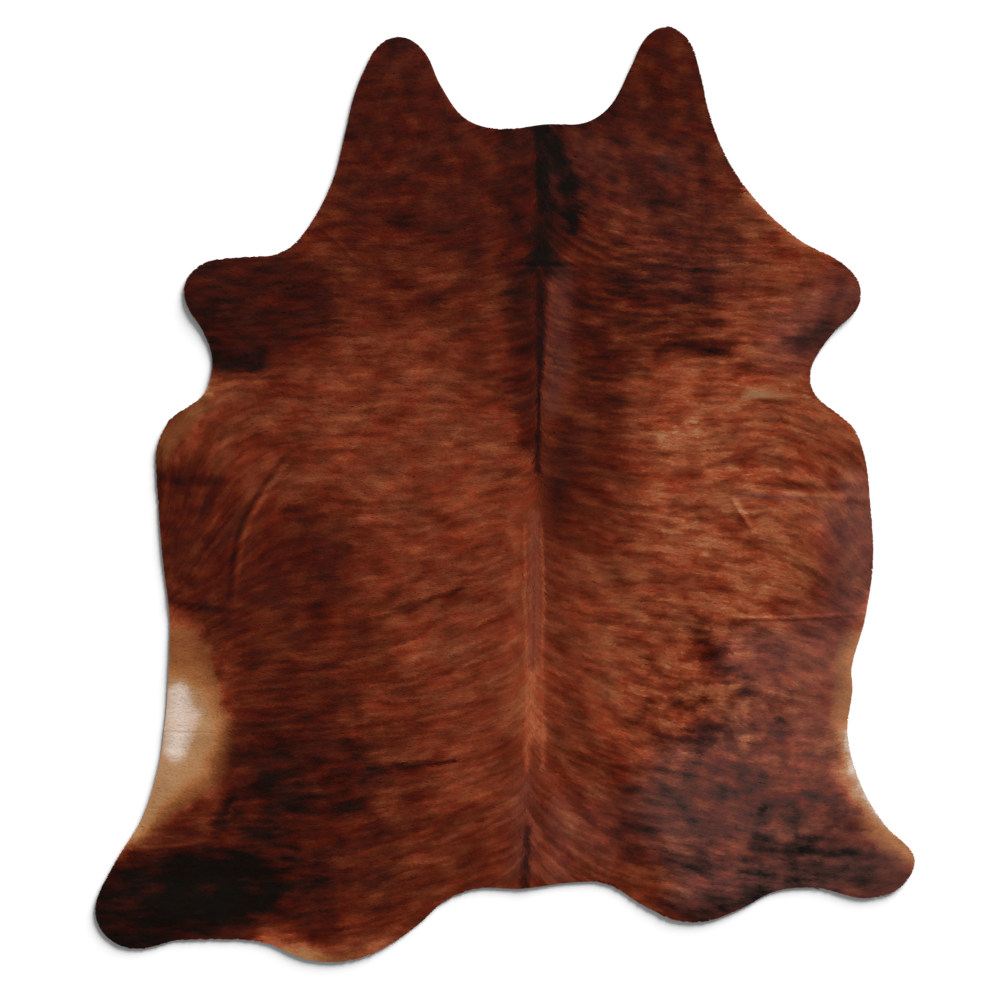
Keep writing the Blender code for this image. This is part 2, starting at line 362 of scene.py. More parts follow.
class Finish:
    """A material under construction, with one Principled shader."""

    def __init__(self, name, **fixed):
        self.material = bpy.data.materials.new(name)
        self.material.use_nodes = True
        self.tree = self.material.node_tree
        self.shader = self.tree.nodes["Principled BSDF"]
        for socket, value in fixed.items():
            self.shader.inputs[socket.replace("_", " ")].default_value = value

    def node(self, kind, settings=None, output=0, **sockets):
        """One node of any kind: its settings first, then the values or links it takes."""
        node = self.tree.nodes.new("ShaderNode" + kind)
        for setting, value in (settings or {}).items():
            if setting == "stops":
                put_stops(node.color_ramp, value)
            else:
                setattr(node, setting, value)
        for socket, value in sockets.items():
            takers = [taker for taker in node.inputs
                      if socket in (taker.identifier, taker.name.replace(" ", "_"))]
            self.feed(takers[0], value)
        return Signal(self, node.outputs[output])

    def feed(self, taker, value):
        if isinstance(value, Signal):
            self.tree.links.new(value.socket, taker)
        else:
            taker.default_value = value

    def wear(self, socket, value):
        """Feeds what changes over the surface into the shader."""
        self.feed(self.shader.inputs[socket], value)

    def map(self, name, across, along):
        """A UV map stretched by two scales, as a vector."""
        place = self.node("UVMap", {"uv_map": name})
        return self.node("VectorMath", {"operation": "MULTIPLY"}, Vector=place,
                         Vector_001=(across, along, 1.0))

    def noise(self, place, detail=2.0, roughness=0.5):
        """A smooth noise that changes about once in each unit of place."""
        return self.node("TexNoise", {"noise_dimensions": "2D"}, Vector=place, Scale=1.0,
                         Detail=detail, Roughness=roughness)

    def blend(self, share, first, second, how="MIX"):
        """A share of the second colour mixed into the first, multiplied with it or added."""
        return self.node("Mix", {"data_type": "RGBA", "blend_type": how}, output=2,
                         Factor_Float=share, A_Color=first, B_Color=second)


class Signal:
    """A value inside a material. Sums on it add Math nodes."""

    def __init__(self, finish, socket):
        self.finish = finish
        self.socket = socket

    def sum_up(self, operation, first, second):
        return self.finish.node("Math", {"operation": operation}, Value=first,
                                Value_001=second)

    def __add__(self, other):
        return self.sum_up("ADD", self, other)

    __radd__ = __add__

    def __mul__(self, other):
        return self.sum_up("MULTIPLY", self, other)

    __rmul__ = __mul__

    def __sub__(self, other):
        return self.sum_up("SUBTRACT", self, other)

    def __rsub__(self, other):
        return self.sum_up("SUBTRACT", other, self)

    def most(self, other):
        return self.sum_up("MAXIMUM", self, other)

    def soft_least(self, other, distance):
        """The smaller of two values, rounded off where they come within a distance."""
        return self.finish.node("Math", {"operation": "SMOOTH_MIN"}, Value=self,
                                Value_001=other, Value_002=distance)

    def step(self, low, high):
        """0 below low, 1 above high, with a soft change between."""
        return self.finish.node("MapRange", {"interpolation_type": "SMOOTHSTEP"},
                                Value=self, From_Min=low, From_Max=high)


def put_stops(ramp, stops):
    """Sets a colour ramp's stops from pairs of place and colour."""
    while len(ramp.elements) < len(stops):
        ramp.elements.new(1.0)
    for element, (place, colour) in zip(ramp.elements, stops):
        element.position = place
        element.color = (*colour, 1.0)


def suede_finish():
    """The bare flesh side: pale tan suede, mottled, with short fibres."""
    pale = (0.43, 0.33, 0.24, 1.0)
    worn = (0.27, 0.19, 0.13, 1.0)
    suede = Finish("hide suede", Roughness=0.9, Specular_IOR_Level=0.2)
    mottle = suede.noise(suede.map("root", 9.0, 9.0), detail=4.0)
    fibre = suede.noise(suede.map("root", 420.0, 420.0), detail=3.0, roughness=0.7)
    colour = suede.blend(mottle.step(0.3, 0.7), worn, pale)
    suede.wear("Base Color", suede.blend(fibre.step(0.2, 0.9) * 0.5, colour, worn))
    suede.wear("Normal", suede.node("Bump", Strength=0.4, Distance=0.0004, Height=fibre))
    return suede.material


def skin_mesh():
    """The sheet: two matching sides and the cut edge between them. Also gives where each
    of its vertices lies on the flat hide."""
    points = [tuple(point) for point in rim]
    edges = []
    kept_off = outline - outward * SKIN_GRID * RIM_GAP
    for crease, track in crease_tracks:
        for rail in CREASE_RAILS:
            row = track + sideways(track) * rail * (crease.left if rail > 0 else crease.right)
            row = row[inside(row, kept_off)]
            first = len(points)
            points += [tuple(point) for point in row]
            edges += [(index, index + 1) for index in range(first, len(points) - 1)]
    spread, _, _ = even_spread(SKIN_GRID)
    points += [tuple(point) for point in spread[inside(spread, kept_off)]]
    flat, _, faces, _, _, _ = delaunay_2d_cdt(
        [Vector(point) for point in points], edges, [list(range(len(rim)))],
        KEEP_INSIDE, MERGE_DISTANCE)
    flat = np.array([point[:] for point in flat])
    faces = np.array([face for face in faces if len(face) == 3])

    top = skin_top(flat)
    count = len(flat)
    vertices = np.concatenate((
        np.column_stack((flat, top)), np.column_stack((flat, top - LEATHER))))
    edge_from = np.concatenate([faces[:, [0, 1]], faces[:, [1, 2]], faces[:, [2, 0]]])
    runs = set(map(tuple, edge_from))
    cut = np.array(sorted(run for run in runs if run[::-1] not in runs))
    walls = np.column_stack((cut[:, 1], cut[:, 0], cut[:, 0] + count, cut[:, 1] + count))
    mesh = build_mesh("skin", vertices, [faces, faces[:, ::-1] + count, walls])
    sides = np.zeros(len(mesh.polygons), np.int32)
    sides[len(faces):] = 1
    mesh.polygons.foreach_set("material_index", sides)
    return mesh, np.concatenate((flat, flat))


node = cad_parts["hide"]
outline = smooth_curve(rim_of(node), RIM_STEP, closed=True)
onward = np.roll(outline, -1, axis=0)
twice_area = (outline[:, 0] * onward[:, 1] - outline[:, 1] * onward[:, 0]).sum()
hide_area = abs(twice_area) / 2
outward = -math.copysign(1.0, twice_area) * sideways(outline, closed=True)
rim = outline - outward * TRIMMED_BACK             # the cut edge of the skin
ground = read_ground(node)
crease_tracks = [(crease, smooth_curve(crease.path, CREASE_STEP))
                 for crease in CREASES.values()]

# ------------------------------------------------------------------------------ The coat
# Short straight hair, lying flat. It runs out from the spine and back towards the rump,
# red-brown with darker brindle streaks, pale at the flanks and near black on the legs.
SPINE = ((-1.10, 0.036), (-0.892, 0.043), (-0.468, 0.059), (-0.012, 0.073), (0.842, 0.082),
         (1.10, 0.085))             # how far up the hide, how far right the spine lies
# How far the hair's lines fall back between spine and edge, and how hard they turn down
# over the belly, on the left and on the right, at places up the hide
Fall = namedtuple("Fall", "place left right left_belly right_belly")
FALLS = (
    Fall(-1.10, 0.16, 0.22, 0.0, 0.0), Fall(-0.85, 0.14, 0.22, 0.0, 0.0),
    Fall(-0.56, 0.12, 0.17, 0.0, 0.0), Fall(-0.35, 0.16, 0.11, 1.0, 1.0),
    Fall(-0.18, 0.13, 0.08, 2.4, 2.2), Fall(-0.05, 0.07, 0.05, 2.6, 2.2),
    Fall(0.10, 0.03, 0.03, 1.6, 1.4), Fall(0.35, 0.03, 0.06, 0.0, 0.2),
    Fall(0.58, 0.08, 0.20, 0.0, 0.0), Fall(0.80, 0.12, 0.20, 0.0, 0.0),
    Fall(1.10, 0.16, 0.20, 0.0, 0.0))
FALL_REACH = 0.25                   # the fall is nearly over this far from the spine
BELLY_FROM = (0.55, 0.50)           # how far from the spine the belly begins, left and right
CREST_FALL = 0.035                  # beside the spine the hair lies straight back
CREST_REACH = 0.014
LONG_SWAY = 0.012                   # how far the hair's lines sway, and over what distance
LONG_SWAY_SIZE = 0.20
SHORT_SWAY = 0.002
SHORT_SWAY_SIZE = 0.05
LATTICE = 96                        # places along each side of the lattice behind a wander

# How a marking's edge strays to all sides, and how it is drawn out along the hair
EDGE_STRAY = 0.006
EDGE_STRAY_SIZE = 0.03
EDGE_COMB = 0.018
EDGE_COMB_SIZE = 0.05
EDGE_COMB_FINE = 8.0                # it changes this much faster across the hair
COMB_FROM = 0.06                    # both die out towards the spine from about this far
EVEN_STRAY = 0.3                    # but this share of the stray is left
EVEN_FADE = 0.5                     # share of a flank's stroke over which they die out too
EVEN_EDGED = (                      # strokes over the flanks, whose markings have even edges
    ((-0.74, -0.36, 0.14), (-0.72, -0.6, 0.2), (-0.8, -0.76, 0.12)),
    ((0.8, -0.3, 0.09), (0.8, -0.62, 0.1), (0.9, -0.78, 0.08)))

# The markings, in the order in which each covers those before it: the level it paints, the
# share of it over which it fades, and the places and half widths that its stroke goes through
TONE, BRINDLE, SHEEN, BLOTCH = range(4)
BASE_TONE = 0.50
BASE_BRINDLE = 0.08
GOLDEN_FROM = 0.60                  # from this blotch on the hair turns golden
GOLDEN_FULL = 0.85                  # and here it fully is
# Tone: the colour, from 0, near black, to 1, cream
TONES = {
    "left neck": (0.34, 0.6, (-0.25, 0.98, 0.26), (-0.19, 0.68, 0.28), (-0.16, 0.55, 0.2)),
    "right neck": (0.36, 0.9, (0.37, 1.0, 0.24), (0.29, 0.72, 0.35), (0.32, 0.5, 0.28)),
    "left fore leg": (0.22, 0.7, (-0.66, 0.42, 0.22), (-0.56, 0.43, 0.21), (-0.47, 0.425, 0.15)),
    "left back": (0.63, 0.6, (-0.26, 0.16, 0.3), (-0.12, -0.02, 0.28)),
    "left loin": (0.61, 0.7, (-0.12, -0.1, 0.24), (-0.06, -0.6, 0.22)),
    "left ribs": (0.56, 0.6, (-0.6, 0.2, 0.14), (-0.52, 0.08, 0.14)),
    "left belly": (0.36, 0.5, (-0.75, -0.02, 0.16), (-0.68, -0.2, 0.16), (-0.5, -0.22, 0.18),
        (-0.45, -0.13, 0.14)),
    "edge of left belly": (0.6, 0.9, (-0.74, 0.14, 0.09)),
    "front of left thigh": (0.41, 0.7, (-0.53, -0.37, 0.16), (-0.43, -0.43, 0.15)),
    "left thigh": (0.25, 0.7, (-0.5, -0.6, 0.19), (-0.36, -0.63, 0.13), (-0.45, -0.76, 0.2)),
    "back of left thigh": (0.38, 0.8, (-0.28, -0.84, 0.16)),
    "left rump": (0.5, 0.8, (-0.12, -0.8, 0.14), (-0.16, -0.9, 0.12)),
    "brown of left flank": (0.74, 0.8, (-0.74, -0.31, 0.09), (-0.745, -0.4, 0.14),
        (-0.745, -0.48, 0.16)),
    "left flank": (0.84, 0.6, (-0.745, -0.48, 0.1), (-0.742, -0.51, 0.16), (-0.75, -0.59, 0.15),
        (-0.8, -0.68, 0.092), (-0.87, -0.79, 0.062)),
    "gold of left flank": (0.91, 0.6, (-0.742, -0.49, 0.11), (-0.742, -0.53, 0.148),
        (-0.755, -0.59, 0.128), (-0.805, -0.68, 0.07), (-0.85, -0.76, 0.046)),
    "cream of left flank": (0.955, 1.0, (-0.738, -0.46, 0.062), (-0.732, -0.515, 0.085),
        (-0.74, -0.58, 0.06)),
    "white of left flank": (0.985, 1.0, (-0.736, -0.45, 0.038), (-0.728, -0.505, 0.066),
        (-0.74, -0.58, 0.042)),
    "dark right of the black leg": (0.22, 0.9, (-0.5, -0.88, 0.14), (-0.43, -0.93, 0.12)),
    "left hind leg": (-0.05, 0.7, (-0.88, -0.955, 0.16), (-0.72, -0.91, 0.17), (-0.6, -0.89, 0.13),
        (-0.54, -0.9, 0.09)),
    "foot of left hind leg": (0.12, 1.0, (-0.86, -0.93, 0.12)),
    "whorl of left thigh": (0.14, 0.8, (-0.64, -0.76, 0.036), (-0.6, -0.69, 0.04),
        (-0.53, -0.66, 0.05), (-0.45, -0.7, 0.05)),
    "inside of the whorl": (0.16, 0.9, (-0.58, -0.76, 0.06), (-0.53, -0.77, 0.06)),
    "arc of the whorl": (0.36, 1.0, (-0.63, -0.735, 0.011), (-0.6, -0.705, 0.012),
        (-0.56, -0.698, 0.013), (-0.515, -0.704, 0.013), (-0.48, -0.735, 0.012)),
    "tail of the whorl": (0.36, 1.0, (-0.52, -0.77, 0.016), (-0.37, -0.79, 0.018)),
    "right shoulder": (0.66, 1.0, (0.64, 0.61, 0.2), (0.63, 0.47, 0.22), (0.56, 0.38, 0.16)),
    "right fore leg": (0.42, 0.9, (0.78, 0.44, 0.1)),
    "right back": (0.77, 0.7, (0.46, 0.17, 0.28), (0.58, -0.02, 0.32), (0.48, -0.19, 0.3)),
    "front of right belly": (0.74, 0.9, (0.64, 0.2, 0.09), (0.77, 0.16, 0.12)),
    "right belly": (0.48, 0.8, (0.8, -0.09, 0.12), (0.78, -0.24, 0.12)),
    "right loin": (0.69, 0.7, (0.28, -0.25, 0.24), (0.3, -0.46, 0.22)),
    "right rump": (0.56, 0.7, (0.14, -0.62, 0.16), (0.12, -0.8, 0.14)),
    "right thigh": (0.62, 0.8, (0.52, -0.43, 0.19), (0.68, -0.48, 0.2), (0.6, -0.6, 0.18)),
    "right hock": (0.37, 0.8, (0.33, -0.74, 0.18), (0.52, -0.76, 0.18), (0.72, -0.78, 0.17)),
    "right hind leg": (0.28, 0.8, (0.6, -0.84, 0.09), (0.72, -0.86, 0.09), (0.88, -0.87, 0.08)),
    "back of right rump": (0.48, 0.8, (0.33, -0.87, 0.12)),
    "edge of right rump": (0.16, 0.9, (0.45, -0.95, 0.08), (0.59, -0.89, 0.1), (0.7, -0.89, 0.07)),
    "foot of right rump": (0.55, 1.0, (0.33, -0.9, 0.08)),
    "dark right of the withers": (0.34, 0.9, (0.18, 0.48, 0.09), (0.2, 0.3, 0.09),
        (0.195, 0.22, 0.08)),
    "dark right of the back": (0.44, 0.9, (0.195, 0.2, 0.085), (0.19, 0.12, 0.085),
        (0.16, -0.03, 0.07)),
    "maroon crest": (0.23, 0.8, (0.02, 0.83, 0.07), (0.04, 0.56, 0.06), (0.045, 0.34, 0.048)),
    "maroon withers": (0.31, 0.8, (0.045, 0.27, 0.046), (0.055, 0.12, 0.024)),
    "dark crest of neck": (0.2, 1.0, (0.1, 0.82, 0.07), (0.12, 0.66, 0.08), (0.105, 0.52, 0.05)),
    "black edge of neck": (0.04, 0.9, (-0.04, 0.842, 0.014), (0.08, 0.85, 0.018),
        (0.19, 0.85, 0.014)),
    "black crest": (0.02, 0.6, (0.085, 0.84, 0.022), (0.084, 0.67, 0.016)),
    "black patch of neck": (0.03, 0.7, (0.105, 0.81, 0.022), (0.135, 0.72, 0.036),
        (0.15, 0.62, 0.024)),
    "black nape": (0.04, 0.8, (0.09, 0.66, 0.028), (0.085, 0.59, 0.035), (0.08, 0.53, 0.03)),
    "pale strip by the spine": (0.4, 1.0, (0.122, 0.5, 0.034), (0.118, 0.33, 0.036),
        (0.103, 0.2, 0.028)),
    "dark loin crest": (0.34, 1.0, (0.135, 0.15, 0.055), (0.115, 0.05, 0.062),
        (0.115, -0.06, 0.05)),
    "beside the crest": (0.6, 1.0, (0.13, -0.28, 0.05), (0.13, -0.42, 0.06)),
    "spine line": (0.12, 0.8, (0.082, 0.52, 0.02), (0.08, 0.33, 0.013), (0.076, 0.25, 0.006),
        (0.075, 0.15, 0.005)),
    "lower spine line": (0.14, 1.0, (0.074, 0.15, 0.01), (0.074, 0.06, 0.01)),
    "warm loin": (0.71, 1.0, (0.05, -0.34, 0.08), (0.05, -0.52, 0.08)),
    "mottled left of the crest": (0.7, 1.0, (0.025, -0.03, 0.03), (0.035, -0.34, 0.035)),
    "pale crest": (0.68, 1.0, (0.064, -0.04, 0.026), (0.064, -0.24, 0.028), (0.064, -0.48, 0.036),
        (0.06, -0.58, 0.028)),
    "middle of crest": (0.58, 1.0, (0.067, -0.08, 0.005), (0.064, -0.4, 0.005),
        (0.064, -0.62, 0.01)),
    "left thread of crest": (0.79, 1.0, (0.05, -0.06, 0.005), (0.049, -0.24, 0.006),
        (0.052, -0.4, 0.009), (0.05, -0.62, 0.009)),
    "right thread of crest": (0.77, 1.0, (0.081, -0.06, 0.004), (0.082, -0.24, 0.005),
        (0.08, -0.62, 0.008)),
    "tan of crest": (0.84, 1.0, (0.064, -0.4, 0.03), (0.06, -0.54, 0.036)),
    "right of the tail": (0.66, 1.0, (0.125, -0.74, 0.05)),
    "dark tail": (0.2, 0.9, (0.05, -0.75, 0.01), (0.045, -0.91, 0.016)),
    "left armpit": (0.7, 0.7, (-0.685, 0.21, 0.06), (-0.62, 0.225, 0.05)),
    "pale spot in armpit": (0.92, 1.0, (-0.675, 0.235, 0.022)),
    "tips of the neck": (0.18, 0.9, (-0.26, 1.03, 0.03), (-0.215, 1.03, 0.03)),
    "foot of left fore leg": (0.1, 0.5, (-0.66, 0.32, 0.045), (-0.56, 0.31, 0.04)),
    "gold of right flank": (0.85, 0.9, (0.83, -0.25, 0.05), (0.79, -0.38, 0.07),
        (0.795, -0.45, 0.075), (0.78, -0.53, 0.08), (0.8, -0.67, 0.08), (0.87, -0.77, 0.07),
        (0.93, -0.83, 0.05)),
    "cream of right flank": (0.98, 1.0, (0.776, -0.55, 0.04), (0.786, -0.61, 0.064),
        (0.806, -0.66, 0.056), (0.842, -0.715, 0.04), (0.88, -0.76, 0.028)),
    "edge of right shoulder": (0.85, 0.8, (0.56, 0.685, 0.035), (0.65, 0.6, 0.045),
        (0.73, 0.555, 0.035)),
    "left shoulder light": (0.49, 0.9, (-0.22, 0.545, 0.08), (-0.1, 0.49, 0.08)),
    "left back light": (0.69, 1.0, (-0.05, 0.13, 0.09), (-0.07, 0.02, 0.1)),
    "left side light": (0.62, 1.0, (-0.2, 0.17, 0.08), (-0.19, 0.03, 0.07)),
    "right loin light": (0.76, 1.0, (0.35, -0.37, 0.08), (0.23, -0.52, 0.08)),
    "left loin light": (0.68, 1.0, (-0.19, -0.37, 0.08)),
    "left loin shade": (0.42, 1.0, (-0.19, -0.66, 0.06)),
    "base of left neck": (0.24, 1.0, (-0.345, 0.85, 0.07)),
    "right back light": (0.8, 1.0, (0.345, 0.04, 0.09), (0.355, -0.11, 0.08)),
    "base of right neck": (0.27, 1.0, (0.216, 0.86, 0.08)),
    "left elbow light": (0.48, 0.9, (-0.3, 0.44, 0.1)),
    "right neck light": (0.5, 0.9, (0.25, 0.66, 0.07), (0.32, 0.56, 0.06)),
    "edge of left rump": (0.88, 0.6, (-0.52, -1.04, 0.06), (-0.41, -1.075, 0.065)),
    "foot of left rump": (0.72, 1.0, (-0.37, -1.06, 0.05), (-0.24, -1.015, 0.045)),
    "right elbow": (0.24, 1.0, (0.67, 0.345, 0.055), (0.73, 0.38, 0.045)),
    "right back patch": (0.32, 1.0, (0.35, 0.345, 0.03), (0.5, 0.335, 0.038)),
    "shoulder patches": (0.25, 0.9, (0.25, 0.47, 0.045), (0.3, 0.44, 0.025)),
    "upper shoulder patch": (0.27, 0.9, (0.44, 0.48, 0.05)),
    "neck patch": (0.18, 0.9, (-0.23, 0.614, 0.04)),
    "blots on right thigh": (0.34, 0.9, (0.39, -0.56, 0.06), (0.46, -0.545, 0.06)),
    "flank blots": (0.42, 0.9, (0.46, -0.345, 0.04), (0.53, -0.42, 0.05)),
    "hock blots": (0.3, 0.9, (0.53, -0.62, 0.04), (0.6, -0.7, 0.055), (0.6, -0.78, 0.055)),
    "rump blots": (0.3, 0.9, (0.39, -0.69, 0.05), (0.44, -0.8, 0.06), (0.456, -0.89, 0.06)),
    "upper hock blots": (0.25, 0.9, (0.524, -0.753, 0.03), (0.661, -0.685, 0.035),
        (0.729, -0.685, 0.03)),
    "left side streak": (0.26, 1.0, (-0.475, -0.16, 0.014), (-0.42, -0.13, 0.02),
        (-0.35, -0.115, 0.014)),
    "left loin streak": (0.38, 1.0, (-0.27, -0.277, 0.012), (-0.18, -0.243, 0.013),
        (-0.105, -0.218, 0.01)),
    "left thigh streak": (0.2, 1.0, (-0.365, -0.636, 0.018), (-0.24, -0.618, 0.018),
        (-0.11, -0.604, 0.009)),
    "orange of right back": (0.86, 1.0, (0.34, 0.13, 0.035), (0.41, 0.15, 0.035)),
    "orange of right side": (0.82, 1.0, (0.4, -0.08, 0.04), (0.435, -0.125, 0.04)),
    "orange of right flank": (0.79, 1.0, (0.52, -0.21, 0.04), (0.6, -0.19, 0.04)),
}
# Brindle: how strong the dark streaks are
BRINDLES = {
    "right side": (0.35, 0.8, (0.35, 0.62, 0.3), (0.5, 0.15, 0.36), (0.5, -0.2, 0.36)),
    "right thigh": (0.8, 0.8, (0.46, -0.48, 0.34), (0.56, -0.8, 0.38)),
    "right rump": (0.3, 1.0, (0.24, -0.62, 0.16), (0.22, -0.83, 0.18)),
    "left thigh": (0.22, 1.0, (-0.35, -0.58, 0.25), (-0.45, -0.85, 0.3)),
    "even crest": (-0.25, 1.0, (0.065, -0.02, 0.06), (0.05, -0.62, 0.08)),
}
# Sheen: a painted sheen, a grey gloss added to the hair's base colour
PAINTED_SHEENS = {
    "right of the spine": (0.4, 1.0, (0.122, 0.5, 0.046), (0.118, 0.33, 0.046),
        (0.103, 0.2, 0.034)),
    "crest": (0.26, 1.0, (0.066, -0.04, 0.018), (0.067, -0.24, 0.02), (0.062, -0.4, 0.018)),
    "right neck": (0.15, 0.8, (0.18, 0.76, 0.14), (0.34, 0.7, 0.2), (0.42, 0.54, 0.2)),
    "spot on right neck": (0.45, 1.0, (0.365, 0.75, 0.045)),
    "right fore leg": (0.58, 0.9, (0.65, 0.36, 0.12), (0.76, 0.44, 0.1)),
    "right belly": (0.9, 0.9, (0.8, 0.01, 0.08), (0.8, -0.08, 0.14), (0.8, -0.22, 0.12)),
    # a painted light band on the lit lower slope of the right belly crease
    "below right belly crease": (0.55, 1.0, (0.52, -0.003, 0.014), (0.83, -0.01, 0.014)),
    "right flank": (0.95, 0.9, (0.56, -0.38, 0.12), (0.74, -0.38, 0.18)),
    "right thigh": (1.7, 0.9, (0.43, -0.7, 0.2), (0.58, -0.66, 0.25), (0.74, -0.62, 0.2)),
    "right hind leg": (1.05, 0.9, (0.44, -0.88, 0.12), (0.86, -0.85, 0.14)),
    "right rump": (0.28, 0.9, (0.2, -0.76, 0.14)),
    "right of the tail": (0.35, 1.0, (0.115, -0.7, 0.045), (0.115, -0.85, 0.05)),
    "tail": (0.25, 1.0, (0.045, -0.64, 0.04), (0.045, -0.83, 0.06)),
}
# Blotch: breaks the streaks up into clusters, and from GOLDEN_FROM makes the hair golden
BLOTCHES = {
    "neck": (0.45, 0.5, (-0.24, 0.9, 0.36), (0.08, 0.76, 0.22), (0.36, 0.9, 0.33)),
    "crest": (0.5, 0.8, (0.025, -0.03, 0.04), (0.035, -0.34, 0.04)),
    "golden left flank": (0.9, 0.5, (-0.75, -0.38, 0.14), (-0.75, -0.56, 0.22),
        (-0.85, -0.74, 0.1)),
    "golden left rump": (0.85, 1.0, (-0.56, -1.05, 0.08), (-0.36, -1.06, 0.07)),
    "golden right flank": (0.9, 0.6, (0.8, -0.34, 0.09), (0.79, -0.56, 0.12), (0.8, -0.66, 0.15),
        (0.9, -0.8, 0.08)),
    "golden left elbow": (0.85, 1.0, (-0.69, 0.21, 0.09), (-0.77, 0.13, 0.11), (-0.8, 0.06, 0.09)),
    "right thigh": (0.5, 1.0, (0.48, -0.48, 0.3), (0.64, -0.7, 0.3)),
    "right belly": (0.5, 0.8, (0.78, -0.06, 0.16), (0.8, -0.22, 0.14)),
    "left belly": (0.5, 0.8, (-0.76, -0.02, 0.14), (-0.74, -0.2, 0.14)),
    "right fore leg": (0.6, 1.0, (0.76, 0.45, 0.14)),
}


def spine_at(y):
    """How far right the spine lies at places up the hide."""
    places, across = zip(*SPINE)
    return np.interp(y, places, across)


def flow(points):
    """Hair coordinates: out from the spine, and along the hide where the line began."""
    out = points[:, 0] - spine_at(points[:, 1])
    places, *runs = zip(*FALLS)
    left, right, left_belly, right_belly = [
        np.interp(points[:, 1], places, run) for run in runs]
    away = np.abs(out)
    leftward = out < 0
    began = points[:, 1] + np.where(leftward, left, right) * (1.0 - np.exp(-away / FALL_REACH))
    past = np.clip(away - np.where(leftward, *BELLY_FROM), 0.0, None)
    began += np.where(leftward, left_belly, right_belly) * past ** 2
    began += CREST_FALL * (1.0 - np.exp(-away / CREST_REACH))
    sway = LONG_SWAY * wander(points, LONG_SWAY_SIZE, seed=1)
    began += sway + SHORT_SWAY * wander(points, SHORT_SWAY_SIZE, seed=2)
    return out, began


def eased(share):
    """A share from 0 to 1 that starts and ends softly."""
    return share * share * (3.0 - 2.0 * share)


def wander(points, size, seed):
    """A smooth random value from -1 to 1, which changes over about the given size."""
    lattice = np.random.default_rng(seed).uniform(-1.0, 1.0, (LATTICE, LATTICE))
    place = points / size + LATTICE / 2
    column, row = np.floor(place).astype(int).T % (LATTICE - 1)
    over, up = eased(place - np.floor(place)).T
    return between_four(lattice, column, row, over, up)


def stroke_share(points, strokes):
    """How near each point is to a brush stroke: 1 on its middle, 0 at its edge."""
    strokes = np.array(strokes)
    share = np.zeros(len(points))
    for start, end in zip(strokes, strokes[1:] if len(strokes) > 1 else strokes):
        run = end[:2] - start[:2]
        part = (points - start[:2]) @ run / max(run @ run, NEARLY_ZERO)
        part = np.clip(part, 0.0, 1.0)
        away = np.linalg.norm(points - start[:2] - part[:, None] * run, axis=1)
        reach = start[2] + part * (end[2] - start[2])
        share = np.maximum(share, 1.0 - away / reach)
    return share


def coat(points):
    """Tone, brindle, painted sheen and blotch of the hair that grows at each point."""
    values = np.zeros((len(points), 4))
    values[:, TONE] = BASE_TONE
    values[:, BRINDLE] = BASE_BRINDLE
    stray = np.column_stack([
        wander(points, EDGE_STRAY_SIZE, seed=seed) for seed in (3, 4)])
    out, began = flow(points)
    clear = 1.0 - np.exp(-(out / COMB_FROM) ** 2)
    for strokes in EVEN_EDGED:
        clear *= 1.0 - np.clip(stroke_share(points, strokes) / EVEN_FADE, 0.0, 1.0)
    stray *= (EVEN_STRAY + (1.0 - EVEN_STRAY) * clear)[:, None]
    lines = np.column_stack((out, began * EDGE_COMB_FINE))
    combed = wander(lines, EDGE_COMB_SIZE, seed=6) * clear
    shifted = points + EDGE_STRAY * stray
    shifted += EDGE_COMB * combed[:, None] * hair_directions(points)
    for kind, markings in enumerate((TONES, BRINDLES, PAINTED_SHEENS, BLOTCHES)):
        painted = values[:, kind]
        for level, fade, *strokes in markings.values():
            share = np.clip(stroke_share(shifted, strokes) / fade, 0.0, 1.0)
            painted += (level - painted) * eased(share)
    return values


def lay_coat(mesh, roots, spots, strands):
    """Gives each vertex of a mesh where its hair grows, that hair's flow and colouring, and
    its place among the strands. All the vertices of a lock have one root."""
    corners = len(spots) // len(roots)
    put_map(mesh, "root", np.repeat(roots, corners, axis=0))
    put_map(mesh, "flow", np.repeat(np.column_stack(flow(roots)), corners, axis=0))
    put_map(mesh, "strand", strands)
    shades = np.repeat(coat(roots), corners, axis=0)
    # painted light and shade beside the creases, at each vertex's own place
    shades[:, TONE] += crease_painted_shading(spots)
    put_colours(mesh, "coat", shades)


